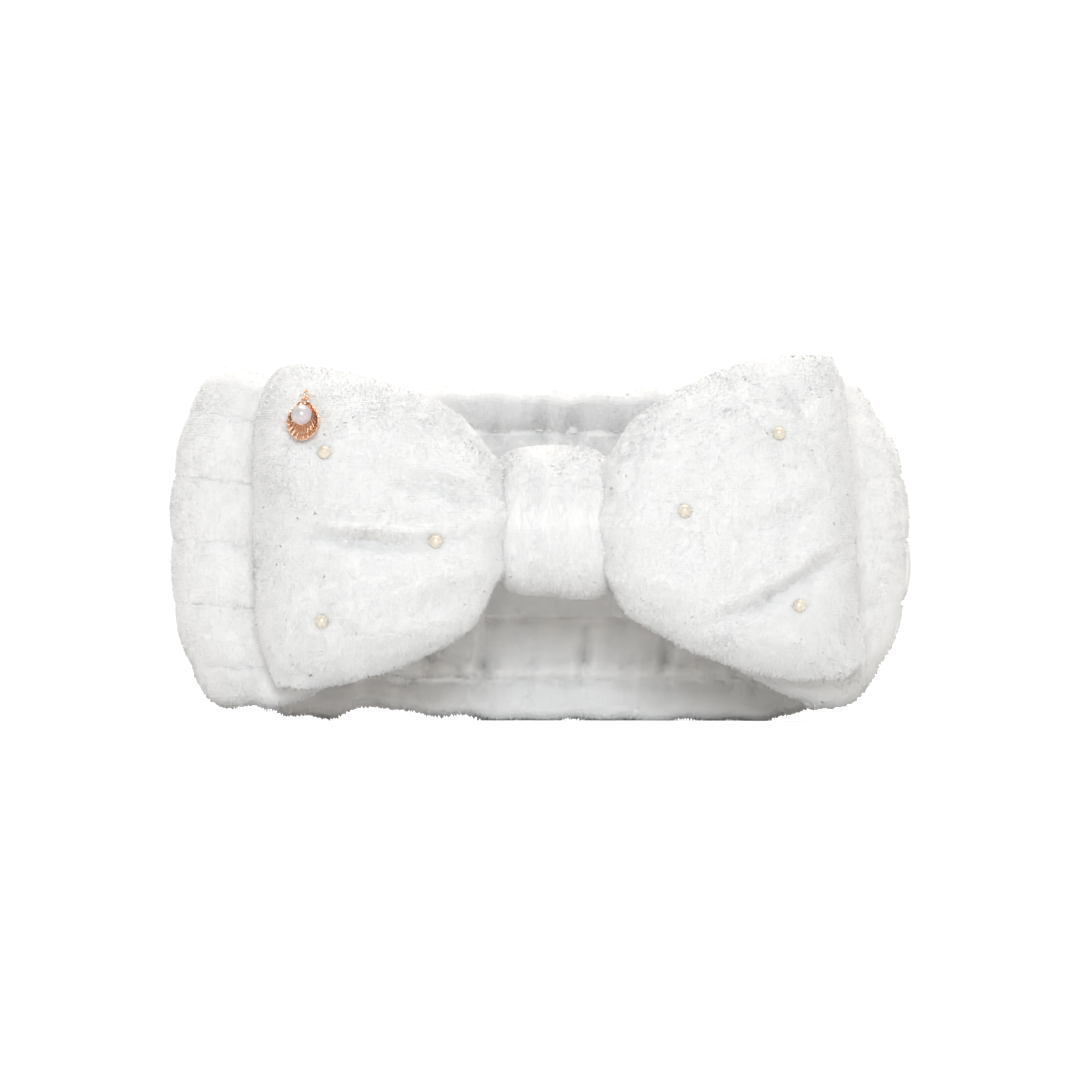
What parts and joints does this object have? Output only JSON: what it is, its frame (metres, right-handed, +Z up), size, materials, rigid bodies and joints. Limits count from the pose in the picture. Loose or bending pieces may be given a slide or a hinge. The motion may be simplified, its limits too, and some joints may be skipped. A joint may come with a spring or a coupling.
{
  "type": "spa headband",
  "caption": "Fleece spa headband: an elastic gathered ring with a large padded bow, a wrapped knot, sewn-on bead pearls and a small hanging scallop shell charm.",
  "frame": {"origin": "on the surface it stands on, in the middle of its footprint", "axes": "+Z up, +X to the right of someone looking at the bow, -Y out of the front of the bow"},
  "size_m": [0.215, 0.0962, 0.1092],
  "materials": {
    "fleece": "short plush pile, matt with a soft sheen",
    "foam": "soft wadding, hidden inside the fleece",
    "elastic": "woven elastic, hidden inside the back",
    "thread": "fine off-white sewing thread",
    "pearl": "cream imitation pearl, glossy",
    "charm_pearl": "white imitation pearl, glossy",
    "rose_gold": "rose gold plating, bright"
  },
  "bodies": {
    "band_front": {"front_outer_panel": "fleece", "front_inner_panel": "fleece", "front_interlining": "foam", "side_seam_left": "thread", "side_seam_right": "thread", "bow_front_panel": "fleece", "bow_back_panel": "fleece", "bow_pad_left": "foam", "bow_pad_right": "foam", "knot_wrap": "fleece", "knot_seam_thread": "thread", "bead_1": "pearl", "bead_2": "pearl", "bead_3": "pearl", "bead_4": "pearl", "bead_5": "pearl", "bead_6": "pearl", "bead_thread_1": "thread", "bead_thread_2": "thread", "bead_thread_3": "thread", "bead_thread_4": "thread", "bead_thread_5": "thread", "bead_thread_6": "thread", "tack_thread": "thread"},
    "band_back": {"back_outer_panel": "fleece", "back_inner_panel": "fleece", "elastic_strip_1": "elastic", "elastic_strip_2": "elastic", "elastic_strip_3": "elastic", "elastic_strip_4": "elastic", "stitch_row_1": "thread", "stitch_row_2": "thread", "stitch_row_3": "thread", "stitch_row_4": "thread", "stitch_row_5": "thread"},
    "jump_ring": {"jump_ring": "rose_gold"},
    "charm": {"charm_shell": "rose_gold", "charm_pearl": "charm_pearl"}
  },
  "joints": [
    {"name": "band_stretch", "type": "slide", "parent": "band_front", "child": "band_back", "axis": [0, 1, 0], "range_m": [0, 0.035], "stiffness_N_per_m": 90, "deforming": ["back_outer_panel", "back_inner_panel", "elastic_strip_1", "elastic_strip_2", "elastic_strip_3", "elastic_strip_4", "stitch_row_1", "stitch_row_2", "stitch_row_3", "stitch_row_4", "stitch_row_5"]},
    {"name": "charm_lift", "type": "hinge", "parent": "band_front", "child": "jump_ring", "pos_m": [-0.06816, -0.03972, 0.09659], "axis": [-0.9781, 0.2081, 0], "range_deg": [0, 75]},
    {"name": "charm_swing", "type": "hinge", "parent": "jump_ring", "child": "charm", "pos_m": [-0.06829, -0.04036, 0.09448], "axis": [-0.1988, -0.9346, 0.2948], "range_deg": [-35, 35]}
  ]
}
